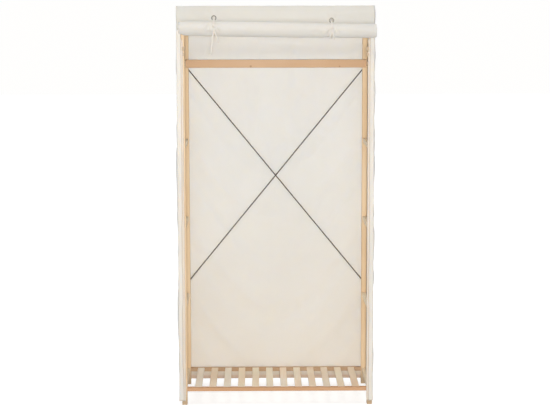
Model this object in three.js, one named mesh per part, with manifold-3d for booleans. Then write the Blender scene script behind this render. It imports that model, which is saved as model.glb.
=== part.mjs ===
// Portable fabric wardrobe: a pine ladder frame with a slatted shelf, a hanging rail and a steel cross brace,
// under a sewn cloth cover whose front door is rolled up and tied. Millimetres, +Z up, the front faces -Y.
// The finished model stands on Z = 0, centred on its own box.
import * as THREE from 'three';
import { mergeVertices } from 'three/addons/utils/BufferGeometryUtils.js';
import Module from 'manifold-3d';

const wasm = await Module();
wasm.setup();

// Frame sizes
const frameWidth = 814;
const frameDepth = 400;
const frameHeight = 1697;
const postWidth = 22;
const postDepth = 28;
const edgeChamfer = 1.5;
const jointGap = 0.3;
const cutOverrun = 1;

// Ladder rungs, counted from the shelf up, with one more at the top
const rungThickness = 15;
const rungHeight = 20;
const pitchedRungCount = 5;
const rungPegRadius = 5;
const rungPegLength = 11;

// Rails
const shelfTop = 74;
const railDepth = 28;
const railHeight = 15;
const railPegRadius = 4;
const railPegLength = 13;
const railPegOffset = 4;
const hangingRungDrop = 235;
const hangingRailThickness = 18;
const hangingRailHeight = 34;
const hangingPegRadius = 5;
const hangingPegLength = 9;

// Shelf slats
const slatCount = 12;
const slatWidth = 30;
const slatThickness = 8;
const slatNotchLength = 10;

// Cross brace
const braceTopDrop = 266;
const braceBottom = 464;
const braceRodDiameter = 5;
const braceEyeRadius = 8;
const braceEyeThickness = 2;
const screwShankRadius = 2;
const screwShankLength = 16;
const screwHeadRadius = 5.2;
const screwHeadHeight = 2.2;

// Cloth cover
const clothThickness = 0.8;
const coverSideGap = 7;
const coverShift = -4.5;
const coverFrontGap = 4;
const coverRearGap = 9;
const hemHeight = 18;
const sideFoldDepth = 8;
const backFoldDepth = 10;
const stripFoldDepth = 1.6;
const roofSag = 7;
const stripWidth = 19;

// Rolled door
const rollTopDrop = 91;
const rollDroop = 12;
const rollLeftInset = 12;
const rollRightOverhang = 5;
const rollRadius = 31;
const rollCoreRadius = 5;
const rollTurns = 4;
const rollLayerThickness = 2.2;
const rollSteps = 56;
const rollMidSwell = 2;
const rollTiePinch = 2;
const rollTiePinchReach = 45;
const rollOverlap = 5;

// Header eyelets and door ties
const eyeletLeftShare = -0.63;
const eyeletRightShare = 0.553;
const eyeletLeftDrop = 49;
const eyeletRightDrop = 60;
const leftTails = [{ length: 110, drift: -12 }, { length: 62, drift: 20 }];
const rightTails = [{ length: 40, drift: -11 }, { length: 42, drift: 9 }];
const eyeletRadius = 11;
const eyeletBarrelRadius = 7.6;
const eyeletBoreRadius = 6.4;
const eyeletFlange = 1.2;
const tieWidth = 6;
const tieThickness = 1.2;
const tieCornerRadius = 3;
const knotWidth = 13;
const knotHeight = 9;
const knotRise = 9;
const tailSpread = 3;

// Zips, sliders and pulls
const zipInset = 27;
const zipBottomRise = 12;
const coilWidth = 3;
const coilThickness = 2.6;
const tapeWidth = 16;
const tapeThickness = 0.6;
const zipStopLength = 3;
const zipStopSwell = 0.8;
const zipRunAboveSlider = 30;
const sliderGap = 0.35;
const sliderPlate = 1.2;
const sliderWedge = 2.4;
const sliderFlange = 1.3;
const sliderLength = 15;
const bailWidth = 2;
const bailSpan = 12;
const bailReach = 2.6;
const bailBar = 1.1;
const pullBarThickness = 1.4;
const pullArmWidth = 1.6;
const pullWindowWidth = 4;
const pullWindowLength = 12;
const pullLength = 26;
const pullGap = 0.4;

// Facets
const pegSides = 12;
const eyeletSides = 16;
const rodSides = 8;
const rodSteps = 24;
const knotSides = 12;
const tailSides = 8;
const tailSteps = 8;

// Colours, roughness and metalness
const pine = () => new THREE.MeshStandardMaterial({ color: 0xd9bd98, roughness: 0.65, metalness: 0 });
const paleSlat = () => new THREE.MeshStandardMaterial({ color: 0xe3d0b4, roughness: 0.65, metalness: 0 });
const cloth = () => new THREE.MeshStandardMaterial({ color: 0xe8e2d8, roughness: 0.95, metalness: 0 });
const tape = () => new THREE.MeshStandardMaterial({ color: 0xf1ede4, roughness: 0.9, metalness: 0 });
const darkSteel = () => new THREE.MeshStandardMaterial({ color: 0x6e665e, roughness: 0.45, metalness: 0.8 });
const creamMetal = () => new THREE.MeshStandardMaterial({ color: 0xe6dfd2, roughness: 0.4, metalness: 0.2 });

const wardrobe = new THREE.Group();
const freePieces = [];

// Places a finished geometry in the model under its own name.
function addPiece(name, geometry, material) {
  const mesh = new THREE.Mesh(geometry, material);
  mesh.name = name;
  wardrobe.add(mesh);
  return mesh;
}

// Turns a closed geometry into a solid that can be joined and cut.
function solidFrom(geometry) {
  const bare = geometry.clone();
  bare.deleteAttribute('normal');
  bare.deleteAttribute('uv');
  const merged = mergeVertices(bare);
  return new wasm.Manifold(new wasm.Mesh({
    numProp: 3,
    vertProperties: new Float32Array(merged.attributes.position.array),
    triVerts: new Uint32Array(merged.index.array),
  }));
}

// Turns a solid back into a geometry.
function geometryFrom(solid) {
  const mesh = solid.getMesh();
  const geometry = new THREE.BufferGeometry();
  geometry.setAttribute('position', new THREE.BufferAttribute(new Float32Array(mesh.vertProperties), 3));
  geometry.setIndex(new THREE.BufferAttribute(new Uint32Array(mesh.triVerts), 1));
  geometry.computeVertexNormals();
  return geometry;
}

// Joins the first geometry with those in `added`, then cuts those in `removed` out of it.
function combine(base, added, removed) {
  let solid = solidFrom(base);
  for (const geometry of added) {
    solid = solid.add(solidFrom(geometry));
  }
  for (const geometry of removed) {
    solid = solid.subtract(solidFrom(geometry));
  }
  return geometryFrom(solid);
}

const xAxis = new THREE.Vector3(1, 0, 0);
const yAxis = new THREE.Vector3(0, 1, 0);
const zAxis = new THREE.Vector3(0, 0, 1);

// A bar with chamfered long edges, its length along one axis, centred on the origin.
// The section's two sizes follow in turn: y then z for a bar along x, z then x along y, x then y along z.
function bar(axis, length, first, second, chamfer) {
  const a = first / 2;
  const b = second / 2;
  const section = new THREE.Shape();
  section.moveTo(-a + chamfer, -b);
  section.lineTo(a - chamfer, -b);
  section.lineTo(a, -b + chamfer);
  section.lineTo(a, b - chamfer);
  section.lineTo(a - chamfer, b);
  section.lineTo(-a + chamfer, b);
  section.lineTo(-a, b - chamfer);
  section.lineTo(-a, -b + chamfer);
  section.closePath();
  const geometry = new THREE.ExtrudeGeometry(section, { depth: length, bevelEnabled: false, steps: 1 });
  geometry.translate(0, 0, -length / 2);
  if (axis === 'x') {
    geometry.applyMatrix4(new THREE.Matrix4().makeBasis(yAxis, zAxis, xAxis));
  } else if (axis === 'y') {
    geometry.applyMatrix4(new THREE.Matrix4().makeBasis(zAxis, xAxis, yAxis));
  }
  return geometry;
}

// A plain box between two corners.
function boxBetween(low, high) {
  const geometry = new THREE.BoxGeometry(high[0] - low[0], high[1] - low[1], high[2] - low[2]);
  geometry.translate((low[0] + high[0]) / 2, (low[1] + high[1]) / 2, (low[2] + high[2]) / 2);
  return geometry;
}

// A round peg or hole along one axis, centred on a point.
function peg(axis, radius, length, centre) {
  const geometry = new THREE.CylinderGeometry(radius, radius, length, pegSides);
  if (axis === 'x') {
    geometry.rotateZ(Math.PI / 2);
  } else if (axis === 'z') {
    geometry.rotateX(Math.PI / 2);
  }
  geometry.translate(centre[0], centre[1], centre[2]);
  return geometry;
}

// Smooth step from 0 to 1 over the span between two values.
function ease(value, start, end) {
  return THREE.MathUtils.smoothstep(value, start, end);
}

// Places worked out from the sizes
const postX = (frameWidth - postWidth) / 2;
const postY = (frameDepth - postDepth) / 2;
const innerHalfWidth = frameWidth / 2 - postWidth;
const innerHalfDepth = frameDepth / 2 - postDepth;
const braceTop = frameHeight - braceTopDrop;
const coverHalfWidth = frameWidth / 2 + coverSideGap;
const rollHeight = frameHeight - rollTopDrop;
const rungPitch = (frameHeight - hangingRungDrop - shelfTop) / (pitchedRungCount - 1);
const pitchedRungs = Array.from({ length: pitchedRungCount }, (_, i) => shelfTop + i * rungPitch - rungHeight / 2);
const rungLevels = [...pitchedRungs, frameHeight - rungHeight / 2];
const hangingLevel = pitchedRungs[pitchedRungCount - 1];
const railLevels = [shelfTop - railHeight / 2, frameHeight - railHeight / 2];
const rungInnerX = postX - rungThickness / 2;
const eyeletPlaces = [
  { side: 'left', x: eyeletLeftShare * coverHalfWidth, drop: eyeletLeftDrop, tails: leftTails },
  { side: 'right', x: eyeletRightShare * coverHalfWidth, drop: eyeletRightDrop, tails: rightTails },
];
const sides = [{ name: 'left', sign: -1 }, { name: 'right', sign: 1 }];
const ends = [{ name: 'front', sign: -1 }, { name: 'rear', sign: 1 }];

// Hole for a peg that enters a face at `face` along an axis in the direction of `sign`.
function mortise(axis, face, sign, radius, length, across, level) {
  const deep = length + jointGap + cutOverrun;
  const middle = face + sign * (deep / 2 - cutOverrun);
  const centre = axis === 'x' ? [middle, across, level] : [across, middle, level];
  return peg(axis, radius + jointGap, deep, centre);
}

function buildPosts() {
  for (const end of ends) {
    for (const side of sides) {
      const blank = bar('z', frameHeight, postWidth, postDepth, edgeChamfer);
      blank.translate(side.sign * postX, end.sign * postY, frameHeight / 2);
      const holes = [];
      for (const level of rungLevels) {
        holes.push(mortise('y', end.sign * innerHalfDepth, end.sign, rungPegRadius, rungPegLength,
          side.sign * postX, level));
      }
      for (const level of railLevels) {
        holes.push(mortise('x', side.sign * innerHalfWidth, side.sign, railPegRadius, railPegLength,
          end.sign * (postY + railPegOffset), level));
      }
      if (end.name === 'rear') {
        for (const level of [braceTop, braceBottom]) {
          holes.push(mortise('y', frameDepth / 2, -1, screwShankRadius, screwShankLength,
            side.sign * postX, level));
        }
      }
      addPiece(`post_${end.name}_${side.name}`, combine(blank, [], holes), pine());
    }
  }
}

function buildRungs() {
  const shoulder = innerHalfDepth - jointGap;
  const pegSpan = shoulder + jointGap + rungPegLength;
  for (const side of sides) {
    rungLevels.forEach((level, i) => {
      const blank = bar('y', 2 * shoulder, rungHeight, rungThickness, edgeChamfer);
      blank.translate(side.sign * postX, 0, level);
      const pegs = [peg('y', rungPegRadius, 2 * pegSpan, [side.sign * postX, 0, level])];
      const holes = [];
      if (level === hangingLevel) {
        holes.push(mortise('x', side.sign * rungInnerX, side.sign, hangingPegRadius, hangingPegLength, 0, level));
      }
      addPiece(`ladder_rung_${side.name}_${i + 1}`, combine(blank, pegs, holes), pine());
    });
  }
}

// Slat centres, spread evenly between the posts.
function slatPlaces() {
  const gap = (2 * innerHalfWidth - slatCount * slatWidth) / (slatCount + 1);
  return Array.from({ length: slatCount }, (_, i) => -innerHalfWidth + gap + slatWidth / 2 + i * (gap + slatWidth));
}

function crossRail(end, level) {
  const shoulder = innerHalfWidth - jointGap;
  const blank = bar('x', 2 * shoulder, railDepth, railHeight, edgeChamfer);
  blank.translate(0, end.sign * (frameDepth - railDepth) / 2, level);
  const pegSpan = shoulder + jointGap + railPegLength;
  const pegs = [peg('x', railPegRadius, 2 * pegSpan, [0, end.sign * (postY + railPegOffset), level])];
  return { blank, pegs };
}

function buildRails() {
  for (const end of ends) {
    const top = crossRail(end, railLevels[1]);
    addPiece(`top_rail_${end.name}`, combine(top.blank, top.pegs, []), pine());
    const shelf = crossRail(end, railLevels[0]);
    const railInner = frameDepth / 2 - railDepth;
    const notches = slatPlaces().map((x) => {
      const near = end.sign * (railInner - cutOverrun);
      const far = end.sign * (railInner + slatNotchLength);
      return boxBetween(
        [x - slatWidth / 2 - jointGap, Math.min(near, far), shelfTop - slatThickness - jointGap],
        [x + slatWidth / 2 + jointGap, Math.max(near, far), shelfTop + cutOverrun],
      );
    });
    addPiece(`shelf_rail_${end.name}`, combine(shelf.blank, shelf.pegs, notches), pine());
  }
  const shoulder = rungInnerX - jointGap;
  const hanging = bar('x', 2 * shoulder, hangingRailThickness, hangingRailHeight, edgeChamfer);
  hanging.translate(0, 0, hangingLevel);
  const pegSpan = rungInnerX + hangingPegLength;
  const pegs = [peg('x', hangingPegRadius, 2 * pegSpan, [0, 0, hangingLevel])];
  addPiece('hanging_rail', combine(hanging, pegs, []), pine());
}

function buildSlats() {
  const length = frameDepth - 2 * railDepth + 2 * (slatNotchLength - jointGap);
  slatPlaces().forEach((x, i) => {
    const slat = bar('y', length, slatThickness, slatWidth, edgeChamfer);
    slat.translate(x, 0, shelfTop - slatThickness / 2);
    addPiece(`shelf_slat_${String(i + 1).padStart(2, '0')}`, slat, paleSlat());
  });
}

// Route of a brace rod between two screws, bowed out of the flat so that the two rods pass each other.
class BraceRoute extends THREE.Curve {
  constructor(start, end, bow) {
    super();
    this.start = start;
    this.end = end;
    this.bow = bow;
  }

  getPoint(t, target = new THREE.Vector3()) {
    target.lerpVectors(this.start, this.end, t);
    target.y += this.bow * Math.sin(Math.PI * t) ** 2;
    return target;
  }
}

function buildBraces() {
  const rodRadius = braceRodDiameter / 2;
  const plane = frameDepth / 2 + jointGap + rodRadius;
  const bow = (braceRodDiameter + jointGap) / 2;
  const eyeMiddle = frameDepth / 2 + jointGap + braceEyeThickness / 2;
  for (const side of sides) {
    const start = new THREE.Vector3(side.sign * postX, plane, braceTop);
    const end = new THREE.Vector3(-side.sign * postX, plane, braceBottom);
    const along = end.clone().sub(start).normalize().multiplyScalar(braceEyeRadius - cutOverrun);
    const route = new BraceRoute(start.clone().add(along), end.clone().sub(along), side.sign * bow);
    const section = new THREE.Shape();
    section.absarc(0, 0, rodRadius, 0, 2 * Math.PI);
    const rod = new THREE.ExtrudeGeometry(section,
      { steps: rodSteps, extrudePath: route, curveSegments: rodSides / 2, bevelEnabled: false });
    const eyes = [start, end].map((p) => peg('y', braceEyeRadius, braceEyeThickness, [p.x, eyeMiddle, p.z]));
    const holes = [start, end].map((p) => peg('y', screwShankRadius + jointGap, 2 * braceRodDiameter,
      [p.x, eyeMiddle, p.z]));
    addPiece(`cross_brace_${side.name}`, combine(rod, eyes, holes), darkSteel());
  }
}

function buildScrews() {
  const seat = frameDepth / 2 + 2 * jointGap + braceEyeThickness;
  const tip = frameDepth / 2 - screwShankLength;
  for (const side of sides) {
    for (const [name, level] of [['top', braceTop], ['bottom', braceBottom]]) {
      const profile = [
        new THREE.Vector2(0, tip),
        new THREE.Vector2(screwShankRadius, tip + screwShankRadius),
        new THREE.Vector2(screwShankRadius, seat),
        new THREE.Vector2(screwHeadRadius, seat),
        new THREE.Vector2(screwHeadRadius, seat + screwHeadHeight / 2),
        new THREE.Vector2(screwHeadRadius / 2, seat + screwHeadHeight),
        new THREE.Vector2(0, seat + screwHeadHeight),
      ];
      const screw = new THREE.LatheGeometry(profile, pegSides);
      screw.translate(side.sign * postX, 0, level);
      addPiece(`brace_screw_${name}_${side.name}`, screw, darkSteel());
    }
  }
}

// A closed sheet of cloth: two grids, one cloth thickness apart along `across`, with rims between them.
// `middle(u, v)` gives the point half way through the cloth for u and v from 0 to 1.
function clothSheet(columns, rows, across, thickness, middle) {
  const positions = [];
  const index = [];
  const half = across.clone().multiplyScalar(thickness / 2);
  for (const face of [1, -1]) {
    for (let j = 0; j <= rows; j += 1) {
      for (let i = 0; i <= columns; i += 1) {
        const point = middle(i / columns, j / rows).addScaledVector(half, face);
        positions.push(point.x, point.y, point.z);
      }
    }
  }
  const stride = columns + 1;
  const layer = stride * (rows + 1);
  const quad = (a, b, c, d) => index.push(a, b, c, a, c, d);
  for (let j = 0; j < rows; j += 1) {
    for (let i = 0; i < columns; i += 1) {
      const a = j * stride + i;
      quad(a, a + 1, a + 1 + stride, a + stride);
      quad(layer + a, layer + a + stride, layer + a + 1 + stride, layer + a + 1);
    }
  }
  for (let i = 0; i < columns; i += 1) {
    const top = rows * stride + i;
    quad(i, layer + i, layer + i + 1, i + 1);
    quad(top, top + 1, layer + top + 1, layer + top);
  }
  for (let j = 0; j < rows; j += 1) {
    const left = j * stride;
    const right = left + columns;
    quad(left, left + stride, layer + left + stride, layer + left);
    quad(right, layer + right, layer + right + stride, right + stride);
  }
  const geometry = new THREE.BufferGeometry();
  geometry.setAttribute('position', new THREE.Float32BufferAttribute(positions, 3));
  geometry.setIndex(index);
  return facedOutwards(geometry);
}

// Reverses every facet of a closed geometry if its facets look inwards.
function facedOutwards(geometry) {
  const position = geometry.attributes.position;
  const index = geometry.index;
  const corners = [new THREE.Vector3(), new THREE.Vector3(), new THREE.Vector3()];
  let volume = 0;
  for (let i = 0; i < index.count; i += 3) {
    corners.forEach((corner, k) => corner.fromBufferAttribute(position, index.getX(i + k)));
    volume += corners[0].dot(corners[1].clone().cross(corners[2]));
  }
  if (volume < 0) {
    for (let i = 0; i < index.count; i += 3) {
      const first = index.getX(i);
      index.setX(i, index.getX(i + 1));
      index.setX(i + 1, first);
    }
  }
  geometry.computeVertexNormals();
  return geometry;
}

// The cover's outer faces and the middle planes of its panels
const coverLeft = coverShift - coverHalfWidth;
const coverRight = coverShift + coverHalfWidth;
const coverFront = -frameDepth / 2 - coverFrontGap - clothThickness;
const coverRear = frameDepth / 2 + coverRearGap + clothThickness;
const frontPlane = coverFront + clothThickness / 2;
const rearPlane = coverRear - clothThickness / 2;
const roofUnderside = frameHeight + jointGap;
const panelTop = roofUnderside - jointGap;

// Height of the rolled door's axis at a place across the front.
function rollLevel(x) {
  return rollHeight - rollDroop * (x - coverLeft) / (coverRight - coverLeft);
}

// Radius of the rolled door: fuller in the middle, drawn in by each tie.
function rollRadiusAt(x) {
  const share = (x - coverLeft) / (coverRight - coverLeft);
  let radius = rollRadius - rollMidSwell / 2 + rollMidSwell * Math.sin(Math.PI * share);
  for (const place of eyeletPlaces) {
    radius -= rollTiePinch * (1 - ease(Math.abs(x - place.x), 0, rollTiePinchReach));
  }
  return radius;
}

// The roll's back just touches the header's front face.
function rollAxisY(x) {
  return coverFront - jointGap - rollRadiusAt(x);
}

function buildRoof() {
  const columns = 14;
  const rows = 8;
  const railMargin = railDepth + edgeChamfer;
  const postMargin = postWidth + edgeChamfer;
  const sheet = clothSheet(columns, rows, zAxis, clothThickness, (u, v) => {
    const x = THREE.MathUtils.lerp(coverLeft, coverRight, u);
    const y = THREE.MathUtils.lerp(coverFront, coverRear, v);
    const insideX = ease(frameWidth / 2 - Math.abs(x), postMargin, frameWidth / 2);
    const insideY = ease(frameDepth / 2 - Math.abs(y), railMargin, frameDepth / 2);
    return new THREE.Vector3(x, y, roofUnderside + clothThickness / 2 - roofSag * insideX * insideY);
  });
  addPiece('cover_roof', sheet, cloth());
}

// Depth of hanging folds, from 0 to 1: flat at both edges and at the seam above, deepest low down.
function foldShare(u, v, foldCount, lean) {
  const edges = ease(u, 0, 1 / foldCount) * ease(1 - u, 0, 1 / foldCount);
  const fall = ease(1 - v, 0, 1);
  const wave = 0.5 - 0.5 * Math.cos(2 * Math.PI * foldCount * u + lean * Math.sin(2 * Math.PI * v));
  return edges * fall * wave;
}

function buildBack() {
  const columns = 16;
  const rows = 14;
  const foldCount = 3;
  const lean = 1.4;
  const inset = clothThickness + jointGap;
  const sheet = clothSheet(columns, rows, yAxis, clothThickness, (u, v) => new THREE.Vector3(
    THREE.MathUtils.lerp(coverLeft + inset, coverRight - inset, u),
    rearPlane - clothThickness + backFoldDepth * foldShare(u, v, foldCount, lean),
    THREE.MathUtils.lerp(hemHeight, panelTop, v),
  ));
  addPiece('cover_back', sheet, cloth());
}

function buildSides() {
  const columns = 10;
  const rows = 16;
  const foldCount = 2;
  const lean = 1.1;
  for (const side of sides) {
    const plane = (side.sign < 0 ? coverLeft : coverRight) - side.sign * clothThickness / 2;
    const sheet = clothSheet(columns, rows, xAxis, clothThickness, (u, v) => new THREE.Vector3(
      plane + side.sign * sideFoldDepth * foldShare(u, v, foldCount, lean),
      THREE.MathUtils.lerp(coverFront, coverRear, u),
      THREE.MathUtils.lerp(hemHeight, panelTop, v),
    ));
    addPiece(`cover_side_${side.name}`, sheet, cloth());
  }
}

function buildHeader() {
  const columns = 24;
  const rows = 5;
  const inset = clothThickness + jointGap;
  const sheet = clothSheet(columns, rows, yAxis, clothThickness, (u, v) => {
    const x = THREE.MathUtils.lerp(coverLeft + inset, coverRight - inset, u);
    return new THREE.Vector3(x, frontPlane, THREE.MathUtils.lerp(rollLevel(x) - rollOverlap, panelTop, v));
  });
  const holes = eyeletPlaces.map((place) => peg('y', eyeletBarrelRadius + jointGap, 2 * coverFrontGap,
    [place.x, frontPlane, frameHeight - place.drop]));
  addPiece('cover_header', combine(sheet, [], holes), cloth());
}

function buildStrips() {
  const columns = 2;
  const rows = 24;
  const foldCount = 5;
  const inset = clothThickness + jointGap;
  for (const side of sides) {
    const outer = (side.sign < 0 ? coverLeft : coverRight) - side.sign * inset;
    const inner = outer - side.sign * (stripWidth - inset);
    const sheet = clothSheet(columns, rows, yAxis, clothThickness, (u, v) => {
      const x = THREE.MathUtils.lerp(outer, inner, u);
      const top = rollLevel(x) - rollOverlap - jointGap;
      const wave = Math.sin(Math.PI * foldCount * v) ** 2 * (1 - u);
      return new THREE.Vector3(x, frontPlane - stripFoldDepth * wave * ease(1 - v, 0, 1 / foldCount),
        THREE.MathUtils.lerp(hemHeight, top, v));
    });
    addPiece(`cover_front_strip_${side.name}`, sheet, cloth());
  }
}

// The rolled door: one sheet wound into a spiral, lofted across the front.
function buildDoorRoll() {
  const stationShares = [0, 0.1, 0.19, 0.28, 0.45, 0.6, 0.78, 0.87, 1];
  const outerPull = 1.3;
  const ring = 2 * (rollSteps + 1);
  const positions = [];
  for (const share of stationShares) {
    const x = THREE.MathUtils.lerp(coverLeft + rollLeftInset, coverRight + rollRightOverhang, share);
    const outer = [];
    const inner = [];
    for (let k = 0; k <= rollSteps; k += 1) {
      const wound = (k / rollSteps) ** outerPull;
      const angle = -2 * Math.PI * rollTurns * wound;
      const radius = THREE.MathUtils.lerp(rollRadiusAt(x), rollCoreRadius, wound);
      for (const [list, r] of [[outer, radius], [inner, radius - rollLayerThickness]]) {
        list.push([x, rollAxisY(x) + r * Math.cos(angle), rollLevel(x) + r * Math.sin(angle)]);
      }
    }
    positions.push(...outer.flat(), ...inner.reverse().flat());
  }
  const index = [];
  for (let s = 0; s < stationShares.length - 1; s += 1) {
    for (let k = 0; k < ring; k += 1) {
      const next = (k + 1) % ring;
      const a = s * ring;
      index.push(a + k, a + next, a + ring + next, a + k, a + ring + next, a + ring + k);
    }
  }
  const last = (stationShares.length - 1) * ring;
  for (let k = 0; k < rollSteps; k += 1) {
    const back = ring - 1 - k;
    index.push(k, back, back - 1, k, back - 1, k + 1);
    index.push(last + k, last + back - 1, last + back, last + k, last + k + 1, last + back - 1);
  }
  const geometry = new THREE.BufferGeometry();
  geometry.setAttribute('position', new THREE.Float32BufferAttribute(positions, 3));
  geometry.setIndex(index);
  addPiece('door_roll', facedOutwards(geometry), cloth());
}

// Spool-shaped eyelet clinched through the header, its flanges before and behind the cloth.
function buildEyelets() {
  const half = clothThickness / 2 + jointGap;
  const profile = [
    new THREE.Vector2(eyeletBoreRadius, -half - eyeletFlange),
    new THREE.Vector2(eyeletRadius, -half - eyeletFlange),
    new THREE.Vector2(eyeletRadius, -half),
    new THREE.Vector2(eyeletBarrelRadius, -half),
    new THREE.Vector2(eyeletBarrelRadius, half),
    new THREE.Vector2(eyeletRadius, half),
    new THREE.Vector2(eyeletRadius, half + eyeletFlange),
    new THREE.Vector2(eyeletBoreRadius, half + eyeletFlange),
    new THREE.Vector2(eyeletBoreRadius, -half - eyeletFlange),
  ];
  for (const place of eyeletPlaces) {
    const eyelet = new THREE.LatheGeometry(profile, eyeletSides);
    eyelet.translate(place.x, frontPlane, frameHeight - place.drop);
    addPiece(`header_eyelet_${place.side}`, eyelet, darkSteel());
  }
}

// Closed outline of a tie's loop, in the plane across the roll, moved outwards by `offset` from its middle line.
// It runs through the eyelet, over and under the roll, and up behind the header.
function tieOutline(place, offset) {
  const eyeletLevel = frameHeight - place.drop;
  const radius = rollRadiusAt(place.x) + jointGap + tieThickness / 2 + offset;
  const axisY = rollAxisY(place.x);
  const axisZ = rollLevel(place.x);
  const flangeReach = clothThickness / 2 + jointGap + eyeletFlange + jointGap + tieThickness / 2;
  const rearY = frontPlane + flangeReach + offset;
  const topZ = eyeletLevel + offset;
  const corner = tieCornerRadius + offset;
  const leave = [frontPlane - flangeReach, topZ];
  const away = [leave[0] - axisY, leave[1] - axisZ];
  const reach = Math.hypot(away[0], away[1]);
  const tangent = Math.atan2(away[1], away[0]) + Math.acos(radius / reach);
  const path = new THREE.Path();
  path.moveTo(leave[0], leave[1]);
  path.absarc(axisY, axisZ, radius, tangent, 1.5 * Math.PI, false);
  path.absarc(rearY - corner, axisZ - radius + corner, corner, -Math.PI / 2, 0, false);
  path.absarc(rearY - corner, topZ - corner, corner, 0, Math.PI / 2, false);
  path.closePath();
  return path;
}

function buildTies() {
  const arcSteps = 7;
  for (const place of eyeletPlaces) {
    const shape = new THREE.Shape(tieOutline(place, tieThickness / 2).getPoints(arcSteps));
    shape.holes.push(new THREE.Path(tieOutline(place, -tieThickness / 2).getPoints(arcSteps)));
    const loop = new THREE.ExtrudeGeometry(shape, { depth: tieWidth, bevelEnabled: false, steps: 1 });
    loop.translate(0, 0, -tieWidth / 2);
    loop.applyMatrix4(new THREE.Matrix4().makeBasis(yAxis, zAxis, xAxis));
    loop.translate(place.x, 0, 0);
    const knot = new THREE.SphereGeometry(1, knotSides, knotSides / 2);
    const middle = knotMiddle(place);
    knot.scale(knotWidth / 2, knotHeight / 2, knotHeight / 2);
    knot.translate(middle.x, middle.y, middle.z);
    addPiece(`door_tie_${place.side}`, combine(loop, [knot], []), tape());
  }
}

// The knot's middle, a little above the roll's axis, with its back in the loop.
function knotMiddle(place) {
  const reach = rollRadiusAt(place.x) + jointGap + knotHeight / 2;
  const forward = Math.sqrt(reach ** 2 - knotRise ** 2);
  return new THREE.Vector3(place.x, rollAxisY(place.x) - forward, rollLevel(place.x) + knotRise);
}

// Two flat tails that leave the knot's lower side and hang down in front of the roll.
function buildTails() {
  for (const place of eyeletPlaces) {
    const middle = knotMiddle(place);
    const tails = place.tails.map((tail, i) => {
      const start = middle.clone().add(new THREE.Vector3(0, -i * tieThickness / 2, -knotHeight / 2 - jointGap));
      const route = new THREE.CatmullRomCurve3([
        start,
        start.clone().add(new THREE.Vector3(0, 0, -tieWidth)),
        start.clone().add(new THREE.Vector3(tail.drift / 2, -tailSpread / 2, -tail.length / 2)),
        start.clone().add(new THREE.Vector3(tail.drift, -tailSpread, -tail.length)),
      ]);
      const section = new THREE.Shape();
      section.absellipse(0, 0, tieThickness / 2, tieWidth / 2, 0, 2 * Math.PI);
      return new THREE.ExtrudeGeometry(section,
        { steps: tailSteps, extrudePath: route, curveSegments: tailSides / 2, bevelEnabled: false });
    });
    freePieces.push(addPiece(`door_tie_tails_${place.side}`, combine(tails[0], [tails[1]], []), tape()));
  }
}

// Zip places: the coil's line, the plane of its tape and the slider's height at rest
const zipPlane = coverFront + clothThickness + jointGap + tapeThickness / 2;
const sliderMiddle = rollHeight - rollDroop - rollRadius - rollMidSwell - pullLength - sliderLength;
const zipTop = sliderMiddle + sliderLength / 2 + jointGap + zipStopLength;
const zipBottom = hemHeight + zipBottomRise;
const zipLines = sides.map((side) => {
  const coilX = (side.sign < 0 ? coverLeft : coverRight) - side.sign * zipInset;
  const channelHalf = coilWidth / 2 + sliderGap;
  return { ...side, coilX, channelHalf, sliderX: coilX - side.sign * (channelHalf + sliderWedge / 2) };
});

// The axis that a pull turns on, at the foot of the bail's eye
const pullAxisZ = sliderMiddle - bailSpan / 2 + bailBar + pullGap + pullBarThickness / 2;
const pullAxisY = zipPlane - coilThickness / 2 - sliderGap - sliderPlate - bailReach / 2;

// A zip's half: tape, coil along its inner edge, and a stop at each end of the coil.
function buildZips() {
  for (const zip of zipLines) {
    const middle = (zipTop + zipBottom) / 2;
    const coil = bar('z', zipTop - zipBottom, coilWidth, coilThickness, coilWidth / 4);
    coil.translate(zip.coilX, zipPlane, middle);
    const outer = zip.coilX + zip.sign * tapeWidth;
    const tapeTop = zipTop + zipRunAboveSlider;
    const band = boxBetween(
      [Math.min(zip.coilX, outer), zipPlane - tapeThickness / 2, hemHeight],
      [Math.max(zip.coilX, outer), zipPlane + tapeThickness / 2, tapeTop],
    );
    const stops = [zipTop - zipStopLength / 2, zipBottom + zipStopLength / 2].map((level) => {
      const stop = bar('z', zipStopLength, coilWidth + zipStopSwell, coilThickness + zipStopSwell, coilWidth / 4);
      stop.translate(zip.coilX, zipPlane, level);
      return stop;
    });
    addPiece(`door_zip_${zip.name}`, combine(band, [coil, ...stops], []), tape());
  }
}

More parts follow.
